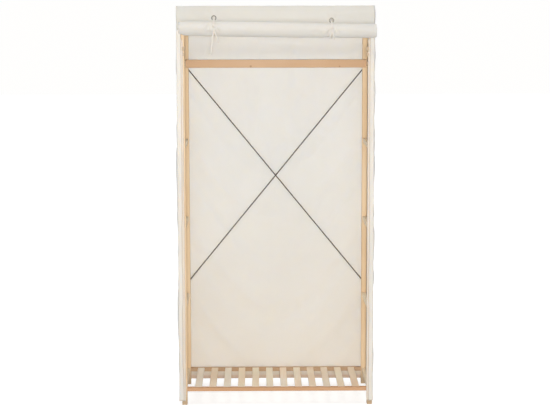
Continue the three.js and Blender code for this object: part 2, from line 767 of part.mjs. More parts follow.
// A slider: two plates joined by the wedge, a channel round the coil and one for the door's half, and a bail.
function buildSliders() {
  const channelDeep = coilThickness / 2 + sliderGap;
  const plateFront = zipPlane - channelDeep - sliderPlate;
  const plateRear = zipPlane + channelDeep + sliderPlate;
  const low = sliderMiddle - sliderLength / 2;
  const high = sliderMiddle + sliderLength / 2;
  const slot = tapeThickness / 2 + sliderGap;
  for (const zip of zipLines) {
    const halfWidth = sliderWedge / 2 + 2 * zip.channelHalf + sliderFlange;
    const body = bar('z', sliderLength, 2 * halfWidth, plateRear - plateFront, sliderPlate / 2);
    body.translate(zip.sliderX, zipPlane, sliderMiddle);
    const cuts = [];
    for (const half of [-1, 1]) {
      const channel = zip.sliderX + half * (sliderWedge / 2 + zip.channelHalf);
      cuts.push(boxBetween(
        [channel - zip.channelHalf, zipPlane - channelDeep, low - cutOverrun],
        [channel + zip.channelHalf, zipPlane + channelDeep, high + cutOverrun],
      ));
      const edge = zip.sliderX + half * (halfWidth + cutOverrun);
      cuts.push(boxBetween(
        [Math.min(channel, edge), zipPlane - slot, low - cutOverrun],
        [Math.max(channel, edge), zipPlane + slot, high + cutOverrun],
      ));
    }
    cuts.push(boxBetween(
      [zip.sliderX - sliderWedge, zipPlane - channelDeep, low - cutOverrun],
      [zip.sliderX + sliderWedge, zipPlane + channelDeep, low + sliderLength / 3],
    ));
    const bailFront = plateFront - bailReach - bailBar;
    const bailLow = sliderMiddle - bailSpan / 2;
    const bailHigh = sliderMiddle + bailSpan / 2;
    const bail = boxBetween(
      [zip.sliderX - bailWidth / 2, bailFront, bailLow],
      [zip.sliderX + bailWidth / 2, plateFront + sliderPlate / 2, bailHigh],
    );
    const bailEye = boxBetween(
      [zip.sliderX - bailWidth, plateFront - bailReach, bailLow + bailBar],
      [zip.sliderX + bailWidth, plateFront, bailHigh - bailBar],
    );
    const loop = combine(bail, [], [bailEye]);
    addPiece(`zip_slider_${zip.name}`, combine(combine(body, [], cuts), [loop], []), creamMetal());
  }
}

// A pull: a flat plate with a window, whose top bar passes through the bail.
function buildPulls() {
  for (const zip of zipLines) {
    const halfBar = pullBarThickness / 2;
    const halfWidth = pullWindowWidth / 2 + pullArmWidth;
    const crossBar = bar('x', 2 * halfWidth, pullBarThickness, pullBarThickness, pullBarThickness / 4);
    crossBar.translate(zip.sliderX, pullAxisY, pullAxisZ);
    const plate = boxBetween(
      [zip.sliderX - halfWidth, pullAxisY - halfBar / 2, pullAxisZ - pullLength],
      [zip.sliderX + halfWidth, pullAxisY + halfBar / 2, pullAxisZ],
    );
    const window = boxBetween(
      [zip.sliderX - pullWindowWidth / 2, pullAxisY - cutOverrun, pullAxisZ - pullWindowLength],
      [zip.sliderX + pullWindowWidth / 2, pullAxisY + cutOverrun, pullAxisZ + cutOverrun],
    );
    addPiece(`zip_pull_${zip.name}`, combine(combine(plate, [], [window]), [crossBar], []), creamMetal());
  }
}

buildPosts();
buildRungs();
buildRails();
buildSlats();
buildBraces();
buildScrews();
buildRoof();
buildBack();
buildSides();
buildHeader();
buildStrips();
buildDoorRoll();
buildEyelets();
buildTies();
buildTails();
buildZips();
buildSliders();
buildPulls();

// Centres the model on the box of everything but the ties' free tails, standing on Z = 0.
const extent = new THREE.Box3();
for (const mesh of wardrobe.children) {
  if (!freePieces.includes(mesh)) {
    extent.expandByObject(mesh, true);
  }
}
const centre = extent.getCenter(new THREE.Vector3());
wardrobe.position.set(-centre.x, -centre.y, -extent.min.z);

export default wardrobe;
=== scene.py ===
"""Looks of the portable fabric wardrobe: cover cloth, rolled door, ties, zips, pine and steel."""
import math

import bmesh
import bpy
import numpy as np
from mathutils import Euler, Matrix, Vector


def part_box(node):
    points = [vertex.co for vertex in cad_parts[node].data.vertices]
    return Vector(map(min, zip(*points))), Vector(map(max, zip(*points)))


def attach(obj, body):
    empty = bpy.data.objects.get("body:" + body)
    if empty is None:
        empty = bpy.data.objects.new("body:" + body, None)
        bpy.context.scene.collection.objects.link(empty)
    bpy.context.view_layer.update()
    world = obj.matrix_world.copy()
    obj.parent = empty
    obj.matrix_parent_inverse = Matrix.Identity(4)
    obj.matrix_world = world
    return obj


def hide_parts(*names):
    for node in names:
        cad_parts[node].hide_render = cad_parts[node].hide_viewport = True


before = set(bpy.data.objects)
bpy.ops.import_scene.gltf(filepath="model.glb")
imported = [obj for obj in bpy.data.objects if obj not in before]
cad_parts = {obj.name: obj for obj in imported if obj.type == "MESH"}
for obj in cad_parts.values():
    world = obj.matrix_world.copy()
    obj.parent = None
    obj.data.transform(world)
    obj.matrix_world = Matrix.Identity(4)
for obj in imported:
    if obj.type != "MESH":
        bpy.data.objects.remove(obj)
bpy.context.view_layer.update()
scene = bpy.context.scene

FRAME_BODY = "frame_and_cover"
SIDES = (("left", -1), ("right", 1))

# Places read from the frame, in metres
front_left, front_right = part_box("post_front_left"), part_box("post_front_right")
rear_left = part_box("post_rear_left")
MID_X = (front_left[0].x + front_right[1].x) / 2
MID_Y = (front_left[0].y + rear_left[1].y) / 2
FRAME_WIDTH = front_right[1].x - front_left[0].x
FRAME_DEPTH = rear_left[1].y - front_left[0].y
FRAME_TOP = front_left[1].z

# Cover sizes, as in the part
CLOTH = 0.0008
GAP = 0.0003
COVER_LEFT = MID_X - 0.4185
COVER_RIGHT = MID_X + 0.4095
COVER_WIDTH = COVER_RIGHT - COVER_LEFT
COVER_HALF = 0.414
FRONT_FACE = MID_Y - 0.2048
REAR_FACE = MID_Y + 0.2098
FRONT_PLANE = FRONT_FACE + CLOTH / 2
REAR_PLANE = REAR_FACE - CLOTH / 2
HEM_Z = 0.018
HEM_TURN = 0.02
# Where the doubled hem ends, above the hem's edge
HEM_STEP = (0.0195, 0.0215)
ROOF_Z = FRAME_TOP + GAP + CLOTH / 2
ROOF_SAG = 0.007
INSET = CLOTH + GAP
STRIP = 0.019

# Rolled door and its ties, as in the part
ROLL_LEFT = COVER_LEFT + 0.012
ROLL_RIGHT = COVER_RIGHT + 0.005
ROLL_LENGTH = ROLL_RIGHT - ROLL_LEFT
ROLL_HEIGHT = 1.606
ROLL_DROOP = 0.012
ROLL_RADIUS = 0.031
ROLL_SWELL = 0.002
TIE_PINCH = 0.002
PINCH_REACH = 0.045
ROLL_OVERLAP = 0.005
# Side, place across, height, and the length and drift of each tail
EYELETS = (
    ("left", MID_X - 0.63 * COVER_HALF, FRAME_TOP - 0.049, ((0.110, -0.012), (0.062, 0.020))),
    ("right", MID_X + 0.553 * COVER_HALF, FRAME_TOP - 0.060, ((0.040, -0.011), (0.042, 0.009))),
)
EYELET_RADIUS = 0.011
EYELET_BORE = 0.0064
EYELET_BARREL = 0.0076
EYELET_FLANGE = 0.0012
TAPE_WIDTH = 0.006
TAPE_THICK = 0.0012
KNOT_HEIGHT = 0.009
KNOT_RISE = 0.009
TAIL_SPREAD = 0.003
TAIL_STEPS = 24

# Zips, as in the part
ZIP_INSET = 0.027
ZIP_TAPE_WIDTH = 0.016
ZIP_TAPE = 0.0006
ZIP_BOTTOM = HEM_Z + 0.012
COIL_PITCH = 0.0025
COIL_TOOTH = (0.0019, 0.0026)


def smooth(value, start, end):
    t = np.clip((value - start) / (end - start), 0.0, 1.0)
    return t * t * (3 - 2 * t)


def cover_edge(sign):
    """The cover's outer side: left for -1, right for 1."""
    return COVER_LEFT if sign < 0 else COVER_RIGHT


def across_share(x):
    return (x - COVER_LEFT) / COVER_WIDTH


def roll_level(x):
    return ROLL_HEIGHT - ROLL_DROOP * across_share(x)


def roll_radius(x):
    radius = ROLL_RADIUS - ROLL_SWELL / 2 + ROLL_SWELL * np.sin(math.pi * across_share(x))
    for _, place, _, _ in EYELETS:
        radius = radius - TIE_PINCH * (1 - smooth(abs(x - place), 0, PINCH_REACH))
    return radius


def roll_axis_y(x):
    return FRONT_FACE - GAP - roll_radius(x)


def knot_middle(x):
    reach = roll_radius(x) + GAP + KNOT_HEIGHT / 2
    forward = math.sqrt(reach**2 - KNOT_RISE**2)
    return Vector((x, roll_axis_y(x) - forward, roll_level(x) + KNOT_RISE))


# Camera, with its focal length in the picture's pixels
IMAGE_WIDTH = 550
SENSOR = 36.0
FOCAL_PIXELS = 1532.7
CAMERA_PLACE = (-0.0787, -6.600, 1.6542)
LOOK_DOWN, LEAN, TURN = 0.12315, 0.0018, -0.01194
camera_data = bpy.data.cameras.new("camera")
camera_data.sensor_width = SENSOR
camera_data.lens = FOCAL_PIXELS / IMAGE_WIDTH * SENSOR
camera_data.clip_end = 100
camera = bpy.data.objects.new("camera", camera_data)
camera.location = CAMERA_PLACE
camera.rotation_euler = Euler((math.pi / 2 - LOOK_DOWN, LEAN, TURN), "XYZ")
scene.collection.objects.link(camera)
scene.camera = camera


# Mesh helpers
def new_object(name, vertices, faces, material):
    mesh = bpy.data.meshes.new(name)
    mesh.from_pydata([tuple(v) for v in vertices], [], faces)
    mesh.update()
    mesh.polygons.foreach_set("use_smooth", [True] * len(mesh.polygons))
    mesh.materials.append(material)
    obj = bpy.data.objects.new(name, mesh)
    scene.collection.objects.link(obj)
    return obj


def face_outwards(obj):
    bm = bmesh.new()
    bm.from_mesh(obj.data)
    bmesh.ops.recalc_face_normals(bm, faces=bm.faces)
    bm.to_mesh(obj.data)
    bm.free()


def join(objects, name):
    """Joins mesh objects into one, keeping their materials."""
    bpy.ops.object.select_all(action="DESELECT")
    for obj in objects:
        obj.select_set(True)
    bpy.context.view_layer.objects.active = objects[0]
    bpy.ops.object.join()
    objects[0].name = name
    return objects[0]


def keep(obj, replaced=(), body=FRAME_BODY):
    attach(obj, body)
    if replaced:
        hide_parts(*replaced)
    return obj


def even_grid(columns, rows, start=0, end=1, low=0, high=1):
    return np.meshgrid(np.linspace(start, end, columns + 1), np.linspace(low, high, rows + 1))


def grid_faces(columns, rows):
    faces = []
    width = columns + 1
    for j in range(rows):
        for i in range(columns):
            a = j * width + i
            faces.append((a, a + 1, a + 1 + width, a + width))
    return faces


def grid_normals(points):
    """Unit normals of a grid of points with shape (rows, columns, 3)."""
    normal = np.cross(np.gradient(points, axis=1), np.gradient(points, axis=0))
    return normal / np.linalg.norm(normal, axis=2, keepdims=True)


def thick_sheet(name, points, thickness, material):
    """A closed sheet around a grid of middle points; the thickness is one number or one for each point."""
    rows, columns = points.shape[0] - 1, points.shape[1] - 1
    offset = grid_normals(points) * np.broadcast_to(thickness, points.shape[:2])[..., None] / 2
    vertices = np.concatenate([(points + offset).reshape(-1, 3), (points - offset).reshape(-1, 3)])
    layer = (rows + 1) * (columns + 1)
    top = grid_faces(columns, rows)
    bottom = [tuple(reversed([layer + k for k in face])) for face in top]
    loop = list(range(columns)) + [j * (columns + 1) + columns for j in range(rows)]
    loop += [rows * (columns + 1) + i for i in range(columns, 0, -1)]
    loop += [j * (columns + 1) for j in range(rows, 0, -1)]
    rim = [(a, layer + a, layer + b, b) for a, b in zip(loop, loop[1:] + loop[:1])]
    obj = new_object(name, vertices, top + bottom + rim, material)
    face_outwards(obj)
    return obj


def band(a, b, ring):
    """Faces between two rings of vertices that start at a and b."""
    return [(a + i, a + (i + 1) % ring, b + (i + 1) % ring, b + i) for i in range(ring)]


def sweep(name, path, section, material, up=None, closed=False):
    """A closed solid with the given section, a list of (side, up) offsets, along a path."""
    path = [Vector(p) for p in path]
    count = len(path)
    ring = len(section)
    vertices = []
    side = None
    for k, point in enumerate(path):
        if closed:
            tangent = (path[(k + 1) % count] - path[k - 1]).normalized()
        else:
            tangent = (path[min(k + 1, count - 1)] - path[max(k - 1, 0)]).normalized()
        if up is not None:
            side = tangent.cross(Vector(up[k])).normalized()
        elif side is None:
            trial = Vector((1, 0, 0)) if abs(tangent.x) < 0.9 else Vector((0, 0, 1))
            side = tangent.cross(trial).normalized()
        else:
            side = (side - tangent * side.dot(tangent)).normalized()
        high = side.cross(tangent).normalized()
        vertices += [point + side * s + high * h for s, h in section]
    faces = []
    for k in range(count if closed else count - 1):
        faces += band(k * ring, ((k + 1) % count) * ring, ring)
    if not closed:
        faces.append(tuple(reversed(range(ring))))
        faces.append(tuple(range((count - 1) * ring, count * ring)))
    obj = new_object(name, vertices, faces, material)
    face_outwards(obj)
    return obj


def ellipse(width, height, sides):
    turn = 2 * math.pi / sides
    return [(width / 2 * math.cos(turn * i), height / 2 * math.sin(turn * i)) for i in range(sides)]


def flat_section(width, thickness):
    """A tape's section with soft edges: (along the width, through the thickness)."""
    half, deep = width / 2, thickness / 2
    near = half * 0.93
    under = [(-half, 0), (-near, -deep), (0, -deep), (near, -deep)]
    return under + [(half, 0), (near, deep), (0, deep), (-near, deep)]


def catmull(points, count):
    """Centripetal curve through the points, as the part draws it."""
    pts = [Vector(p) for p in points]
    ends = [pts[0] * 2 - pts[1], *pts, pts[-1] * 2 - pts[-2]]
    out = []
    for k in range(count + 1):
        place = min(k / count * (len(pts) - 1), len(pts) - 1 - 1e-9)
        i = int(place)
        t = place - i
        p0, p1, p2, p3 = ends[i : i + 4]
        d0, d1, d2 = [max((q - p).length ** 0.5, 1e-6) for p, q in ((p0, p1), (p1, p2), (p2, p3))]
        m1 = ((p1 - p0) / d0 - (p2 - p0) / (d0 + d1) + (p2 - p1) / d1) * d1
        m2 = ((p2 - p1) / d1 - (p3 - p1) / (d1 + d2) + (p3 - p2) / d2) * d1
        a = p1 * 2 - p2 * 2 + m1 + m2
        b = p1 * -3 + p2 * 3 - m1 * 2 - m2
        out.append(a * t**3 + b * t**2 + m1 * t + p1)
    return out


# Material helpers
def linear(r, g, b):
    """A colour as a picture shows it, 0 to 255, as the renderer's linear value."""
    out = []
    for c in (r, g, b):
        c /= 255
        out.append(c / 12.92 if c <= 0.04045 else ((c + 0.055) / 1.055) ** 2.4)
    return (*out, 1.0)


def scaled(colour, factor):
    return (*[min(1.0, c * factor) for c in colour[:3]], 1.0)


def tinted(colour, red, green, blue):
    return (colour[0] * red, colour[1] * green, colour[2] * blue, 1.0)


def grey(level):
    return (level, level, level, 1)


class Nodes:
    """Adds and links shader nodes in a new material or world."""

    def __init__(self, owner):
        owner.use_nodes = True
        self.owner = owner
        self.tree = owner.node_tree
        self.shader = self.tree.nodes.get("Principled BSDF")

    def add(self, kind, inputs=None, **settings):
        node = self.tree.nodes.new(kind)
        for key, value in settings.items():
            setattr(node, key, value)
        for key, value in (inputs or {}).items():
            self.feed(node, key, value)
        return node

    def feed(self, node, key, value):
        socket = node.inputs[key]
        if isinstance(value, bpy.types.NodeSocket):
            self.tree.links.new(value, socket)
        else:
            socket.default_value = value

    def math(self, operation, a, b=0.0):
        return self.add("ShaderNodeMath", {0: a, 1: b}, operation=operation).outputs[0]

    def times(self, a, b):
        return self.math("MULTIPLY", a, b)

    def shown(self):
        """1 where the camera sees a point, straight or in a shiny or clear surface."""
        rays = self.add("ShaderNodeLightPath").outputs
        out = self.math("MAXIMUM", rays["Is Camera Ray"], rays["Is Glossy Ray"])
        return self.math("MAXIMUM", out, rays["Is Transmission Ray"])

    def between(self, value, low, high, at_low=0.0, at_high=1.0):
        """Carries a value from one range over to another, held at the ends."""
        inputs = {"Value": value, "From Min": low, "From Max": high, "To Min": at_low, "To Max": at_high}
        return self.add("ShaderNodeMapRange", inputs).outputs[0]

    def split(self, vector):
        return self.add("ShaderNodeSeparateXYZ", {"Vector": vector}).outputs

    def ramp(self, value, stops):
        node = self.add("ShaderNodeValToRGB", {"Fac": value})
        elements = node.color_ramp.elements
        while len(elements) < len(stops):
            elements.new(0.5)
        for element, (place, colour) in zip(elements, stops):
            element.position = place
            element.color = colour
        return node.outputs["Color"]

    def mapped(self, scale=(1, 1, 1), location=(0, 0, 0)):
        place = self.add("ShaderNodeTexCoord").outputs["Object"]
        inputs = {"Vector": place, "Scale": scale, "Location": location}
        return self.add("ShaderNodeMapping", inputs).outputs[0]

    def noise(self, vector, scale, detail=3.0, roughness=0.5):
        inputs = {"Vector": vector, "Scale": scale, "Detail": detail, "Roughness": roughness}
        return self.add("ShaderNodeTexNoise", inputs).outputs["Fac"]

    def mix(self, factor, a, b):
        node = self.add("ShaderNodeMix", data_type="RGBA")
        self.feed(node, 0, factor)
        self.feed(node, 6, a)
        self.feed(node, 7, b)
        return node.outputs[2]

    def finish(self, tone, rough, height, strength, distance, **levels):
        """Feeds colour, roughness and bump, sets plain numbers on the shader and gives the material."""
        bump = self.add("ShaderNodeBump", {"Height": height, "Strength": strength, "Distance": distance})
        self.feed(self.shader, "Base Color", tone)
        self.feed(self.shader, "Roughness", rough)
        self.feed(self.shader, "Normal", bump.outputs[0])
        for key, value in levels.items():
            self.shader.inputs[key.replace("_", " ")].default_value = value
        return self.owner


def cloth_material(name, colour, axes=("X", "Z"), depth=0.002, thread=0.0011, hem=0.0):
    """Plain weave that lets light through: threads along two axes, slubs and a soft drift of tone.

    Where `hem` is given, it is how deep the painted shade at the bottom is: a step at the doubled hem and a
    warm darkening that fades out over a metre above it.
    """
    n = Nodes(bpy.data.materials.new(name))
    place = n.mapped()
    parts = n.split(place)
    waves = [n.math("SINE", n.times(parts[axis], 2 * math.pi / thread)) for axis in axes]
    weave = n.times(waves[0], waves[1])
    slubs = []
    for axis in axes:
        scale = [900.0, 900.0, 900.0]
        scale["XYZ".index(axis)] = 55.0
        slubs.append(n.noise(n.mapped(scale), 1.0, 2.0))
    slub = n.math("ADD", slubs[0], slubs[1])
    drift = n.noise(place, 2.4, 3.0, 0.55)
    mottle = n.noise(place, 34.0, 4.0, 0.6)
    tone = n.ramp(drift, [(0.3, scaled(colour, 0.965)), (0.7, scaled(colour, 1.02))])
    tone = n.mix(n.times(mottle, 0.08), tone, scaled(colour, 0.86))
    tone = n.mix(n.times(slub, 0.04), tone, scaled(colour, 0.8))
    if hem:
        # Metres above the hem's edge, and how deep the painted shade is there
        fade = ((0.0, 1.0), (0.014, 0.95), (0.016, 0.6), (0.036, 0.5), (0.06, 0.26), (1.0, 0.0))
        rise = n.between(parts["Z"], HEM_Z, HEM_Z + 1.0)
        painted_low_shade = n.ramp(rise, [(metres, grey(level)) for metres, level in fade])
        # Painted shade: the bottom darker and warmer, for the shade under the shelf, the warm light off the
        # wood and the doubled hem letting less light through
        tone = n.mix(n.times(painted_low_shade, hem), tone, tinted(colour, 0.75, 0.45, 0.2))
    height = n.math("ADD", n.times(weave, 0.35), slub)
    rough = n.math("ADD", 0.86, n.times(mottle, 0.1))
    n.shader.inputs["Subsurface Radius"].default_value = (1.0, 0.9, 0.75)
    return n.finish(
        tone, rough, height, 0.35, 0.00025, Specular_IOR_Level=0.2,
        Sheen_Weight=0.06, Sheen_Roughness=0.6, Subsurface_Weight=1.0, Subsurface_Scale=depth,
    )


RING_PITCH = 0.0042
# Heights over which the painted shade on the posts' feet fades out
FOOT_SHADE = (0.012, 0.055)


def wood_material(name, axis, colour, seed, contrast=1.0, knots=(), foot=0.0):
    """Pine with rings round a pith beside the bar, fine fibres along it, and knots at the given places.

    The tone drifts along the bar, and `foot` is how deep the painted shade on the end at the floor is.
    """
    rng = np.random.default_rng(seed)
    n = Nodes(bpy.data.materials.new(name))
    along = "XYZ".index(axis)
    across = [k for k in range(3) if k != along]
    offset = [0.0, 0.0, 0.0]
    offset[across[0]] = float(rng.uniform(0.03, 0.07) * rng.choice((-1, 1)))
    offset[across[1]] = float(rng.uniform(0.02, 0.06) * rng.choice((-1, 1)))
    offset[along] = float(rng.uniform(-5, 5))

    def stretched(wide, long, detail, roughness):
        scale = [wide, wide, wide]
        scale[along] = long
        return n.noise(n.mapped(scale, offset), 1.0, detail, roughness)

    parts = n.split(n.mapped(location=offset))
    a, b = parts[across[0]], parts[across[1]]
    reach = n.math("SQRT", n.math("ADD", n.math("POWER", a, 2.0), n.math("POWER", b, 2.0)))
    reach = n.math("ADD", reach, n.times(stretched(5.0, 0.9, 2.0, 0.45), 0.030))
    place = n.mapped()
    spots = []
    for spot, size in knots:
        away = n.add("ShaderNodeVectorMath", {0: place, 1: spot}, operation="DISTANCE").outputs["Value"]
        near = n.between(away, 0.0, size, 1.0, 0.0)
        spots.append(near)
        reach = n.math("ADD", reach, n.times(n.math("POWER", near, 2.0), size))
    ring = n.math("FRACT", n.times(reach, 1 / RING_PITCH))
    late = n.ramp(ring, [(0.0, grey(0)), (0.55, grey(0.12)), (0.88, grey(1)), (1.0, grey(0))])
    fibre = stretched(900.0, 14.0, 3.0, 0.6)
    streak = stretched(160.0, 2.5, 2.0, 0.5)
    light = scaled(colour, 1.10)
    dark = tinted(colour, 0.86, 0.76, 0.62)
    drift = n.ramp(stretched(6.0, 3.2, 2.0, 0.5), [(0.35, grey(0)), (0.65, grey(1))])
    light = n.mix(drift, light, tinted(colour, 0.99, 0.93, 0.86))
    tone = n.mix(n.times(late, 0.40 * contrast), light, dark)
    tone = n.mix(n.times(streak, 0.26 * contrast), tone, dark)
    tone = n.mix(n.times(fibre, 0.14), tone, scaled(dark, 0.85))
    for near in spots:
        core = n.times(n.between(near, 0.45, 0.8), 0.6)
        tone = n.mix(core, tone, tinted(colour, 0.5, 0.34, 0.22))
    if foot:
        # Painted shade: the end on the floor darker, for the shade near the floor
        low = n.between(n.split(place)["Z"], *FOOT_SHADE, 1.0, 0.0)
        tone = n.mix(n.times(low, foot), tone, tinted(colour, 0.42, 0.36, 0.32))
    height = n.math("ADD", n.times(late, 0.5), fibre)
    rough = n.math("ADD", 0.50, n.times(fibre, 0.12))
    return n.finish(tone, rough, height, 0.25, 0.0004, Specular_IOR_Level=0.35)


def metal_material(name, colour, metallic, roughness, scratch=0.25, worn=0.15):
    """Metal, enamel or hard nylon with fine rubbed patches, whose tone varies by the share `worn`."""
    n = Nodes(bpy.data.materials.new(name))
    wear = n.noise(n.mapped(), 420.0, 4.0, 0.65)
    tone = n.ramp(wear, [(0.3, scaled(colour, 1 - worn)), (0.75, scaled(colour, 1 + worn * 0.7))])
    rough = n.math("ADD", roughness - 0.08, n.times(wear, 0.16))
    return n.finish(tone, rough, wear, scratch, 0.0002, Metallic=metallic)


# Colours and finishes
CREAM = linear(237, 234, 229)
PINE = linear(235, 210, 175)
BIRCH = linear(250, 236, 214)
RAIL = linear(210, 176, 142)
FRONT_RAIL = linear(208, 165, 128)
SLAT = linear(255, 244, 229)
# One cloth in copies whose colours stand in for light: the header's and roll's copies darker and the strips'
# a little darker, for the front the lamps light most, and CREAM for the back, sides and roof paler, for the
# inside: painted shade and painted light
front_cloth = cloth_material("cover_cloth_front", linear(218, 215, 208), depth=0.0008)
strip_cloth = cloth_material("cover_cloth_strip", linear(235, 229, 220), depth=0.0008)
roll_cloth = cloth_material("cover_cloth_roll", linear(221, 217, 210), depth=0.0006)
# The back and side copies carry painted shade at the bottom, set by `hem`
back_cloth = cloth_material("cover_cloth_back", CREAM, hem=0.5)
side_cloth = cloth_material("cover_cloth_side", CREAM, ("Y", "Z"), hem=0.4)
roof_cloth = cloth_material("cover_cloth_roof", CREAM, ("X", "Y"), depth=0.004)
tie_cloth = cloth_material("tie_tape_weave", linear(227, 221, 212), depth=0.0004, thread=0.0007)
# Brown cord for the strips' free edges: a painted shadow line
edge_shadow_cloth = cloth_material("edge_shadow_line_weave", linear(190, 168, 144), depth=0.0003, thread=0.0006)
thread_cloth = cloth_material("sewing_thread", linear(222, 216, 206), depth=0.0003, thread=0.0004)
zip_cloth = cloth_material("zip_tape_weave", linear(234, 224, 211), depth=0.0005, thread=0.0006)
coil_nylon = metal_material("zip_coil_nylon", linear(222, 208, 192), 0.0, 0.45, 0.1)
dark_steel = metal_material("brace_steel", linear(104, 96, 88), 0.65, 0.42)
eyelet_metal = metal_material("eyelet_metal", linear(128, 124, 114), 0.7, 0.38)
slider_metal = metal_material("slider_enamel", linear(200, 176, 146), 0.0, 0.6, 0.1, worn=0.05)

# The ties' free tails: flat tapes that hang from their knots, declared as cords
for side, x, _, tails in EYELETS:
    for i, (length, drift) in enumerate(tails):
        start = knot_middle(x) + Vector((0, -i * TAPE_THICK / 2, -KNOT_HEIGHT / 2 - GAP))
        half_way = (drift / 2, -TAIL_SPREAD / 2, -length / 2)
        drops = ((0, 0, 0), (0, 0, -TAPE_WIDTH), half_way, (drift, -TAIL_SPREAD, -length))
        path = catmull([start + Vector(drop) for drop in drops], TAIL_STEPS)
        steps = range(TAIL_STEPS + 1)
        twist = [0.5 * math.sin(k / TAIL_STEPS * 4.2 + i * 1.7) * min(1, k / 6) for k in steps]
        facing = [(math.sin(t), math.cos(t), 0) for t in twist]
        section = flat_section(TAPE_WIDTH, TAPE_THICK)
        tail = sweep(f"door_tie_tail_{side}_{i + 1}", path, section, tie_cloth, up=facing)
        keep(tail, [f"door_tie_tails_{side}"])


# Cloth shapes
def wrinkles(a, b, seed, count, amplitude, size):
    """Soft random creases: a sum of narrow ridges at random places and angles."""
    rng = np.random.default_rng(seed)
    out = np.zeros_like(a)
    for _ in range(count):
        ca, cb = rng.uniform(a.min(), a.max()), rng.uniform(b.min(), b.max())
        angle = rng.uniform(-0.5, 0.5) + rng.choice((0, math.pi / 2))
        along = (a - ca) * math.sin(angle) + (b - cb) * math.cos(angle)
        off = (a - ca) * math.cos(angle) - (b - cb) * math.sin(angle)
        length, width = rng.uniform(1.5, 5.0) * size, rng.uniform(0.15, 0.45) * size
        out += rng.uniform(-1, 1) * amplitude * np.exp(-((off / width) ** 2) - (along / length) ** 2)
    return out


def packing_creases(a, b, lines_a, lines_b, depth):
    """Little ridges left where the cover was folded in its bag."""
    out = np.zeros_like(a)
    for k, line in enumerate(lines_a):
        wander = 0.002 * np.sin(b * 9 + k)
        out += depth * (1 if k % 2 else -1) * np.exp(-np.abs(a - line - wander) / 0.006)
    for k, line in enumerate(lines_b):
        wander = 0.002 * np.sin(a * 11 + 2 * k)
        out += depth * (-1 if k % 2 else 1) * np.exp(-np.abs(b - line - wander) / 0.006)
    return out


def cubic_weights(count, places):
    """Weights that read a row of `count` evenly spaced values at places from 0 to 1."""
    out = np.zeros((len(places), count))
    for row, place in enumerate(np.clip(places, 0, 1) * (count - 1)):
        i = min(int(place), count - 2)
        t = place - i
        near = (
            -0.5 * t + t**2 - 0.5 * t**3, 1 - 2.5 * t**2 + 1.5 * t**3,
            0.5 * t + 2 * t**2 - 1.5 * t**3, -0.5 * t**2 + 0.5 * t**3,
        )
        for step, weight in zip((i - 1, i, i + 1, i + 2), near):
            out[row, min(max(step, 0), count - 1)] += weight
    return out


DRAPE_FRAMES = 40


def draped(width, height, seed, cell=0.02):
    """Cloth simulation of a panel sewn along its top and both sides, cut a little full, its hem free.

    Gives the movement of each grid point as (across, outwards, up), rows from the hem to the top.
    """
    columns, rows = round(width / cell), round(height / cell)
    u, v = even_grid(columns, rows)
    rng = np.random.default_rng(seed)
    start = np.zeros_like(u)
    for k in range(1, 5):
        start += rng.uniform(0.3, 1) * np.sin(math.pi * k * u + rng.uniform(0, 3) * v) ** 2
    start *= 0.0015 * np.sin(math.pi * u) * (1 - v) ** 0.5
    flat = np.stack([u * width, start, v * height], axis=2)
    obj = new_object("drape_trial", flat.reshape(-1, 3), grid_faces(columns, rows), back_cloth)
    group = obj.vertex_groups.new(name="sewn")
    points = [(i, j) for j in range(rows + 1) for i in range(columns + 1)]
    sewn = [j * (columns + 1) + i for i, j in points if i in (0, columns) or j == rows]
    group.add(sewn, 1.0, "REPLACE")
    cloth = obj.modifiers.new("drape", "CLOTH")
    levels = {
        "quality": 6, "mass": 0.05, "tension_stiffness": 30, "compression_stiffness": 30,
        "shear_stiffness": 12, "bending_stiffness": 1.5, "air_damping": 2,
        "vertex_group_mass": "sewn", "shrink_min": -0.012,
    }
    for key, value in levels.items():
        setattr(cloth.settings, key, value)
    cloth.collision_settings.use_self_collision = False
    cloth.point_cache.frame_end = DRAPE_FRAMES
    for k in range(1, DRAPE_FRAMES + 1):
        scene.frame_set(k)
    shape = obj.evaluated_get(bpy.context.evaluated_depsgraph_get())
    moved = np.empty(flat.size)
    shape.data.vertices.foreach_get("co", moved)
    bpy.data.objects.remove(obj)
    scene.frame_set(1)
    return moved.reshape(flat.shape) - np.stack([u * width, 0 * u, v * height], axis=2)


